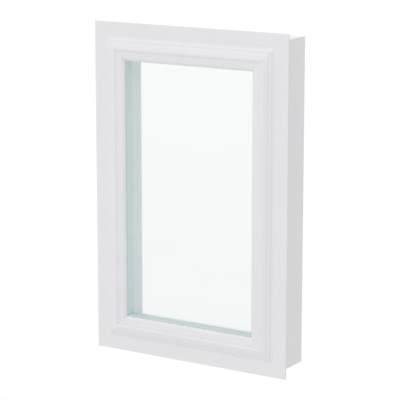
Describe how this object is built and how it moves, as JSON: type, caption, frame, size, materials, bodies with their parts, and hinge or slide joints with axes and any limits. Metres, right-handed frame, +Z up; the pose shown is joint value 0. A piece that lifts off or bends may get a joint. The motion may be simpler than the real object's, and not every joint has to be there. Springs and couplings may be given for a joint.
{
  "type": "fixed picture window",
  "caption": "Fixed picture window: mitred white vinyl frame with a flat exterior flange and moulded face, snap-in glazing beads and a sealed insulating glass unit.",
  "frame": {"origin": "on the back face of the sill flange, at the middle of the window and half-way up the flange's overlap on the wall", "axes": "+X to the right seen from outside, +Y into the building, +Z up"},
  "size_m": [0.419, 0.0929, 0.635],
  "materials": {
    "vinyl_frame": "white extruded rigid vinyl, satin",
    "vinyl_bead": "white extruded rigid vinyl, satin",
    "gasket": "pale grey flexible vinyl lip",
    "glass": "clear coated float glass, faint blue-green in reflection",
    "spacer": "pale grey-green painted aluminium, matte",
    "sealant": "dark edge sealant",
    "glazing_tape": "white closed-cell foam tape",
    "setting_block": "black firm rubber"
  },
  "bodies": {
    "root": {"frame_head": "vinyl_frame", "frame_sill": "vinyl_frame", "frame_jamb_left": "vinyl_frame", "frame_jamb_right": "vinyl_frame", "glazing_bead_head": "vinyl_bead", "glazing_bead_sill": "vinyl_bead", "glazing_bead_left": "vinyl_bead", "glazing_bead_right": "vinyl_bead", "bead_gasket_head": "gasket", "bead_gasket_sill": "gasket", "bead_gasket_left": "gasket", "bead_gasket_right": "gasket", "outer_glass_pane": "glass", "inner_glass_pane": "glass", "spacer_bar_head": "spacer", "spacer_bar_sill": "spacer", "spacer_bar_left": "spacer", "spacer_bar_right": "spacer", "edge_sealant_head": "sealant", "edge_sealant_sill": "sealant", "edge_sealant_left": "sealant", "edge_sealant_right": "sealant", "glazing_tape_head": "glazing_tape", "glazing_tape_sill": "glazing_tape", "glazing_tape_left": "glazing_tape", "glazing_tape_right": "glazing_tape", "setting_block_left": "setting_block", "setting_block_right": "setting_block"}
  },
  "joints": []
}
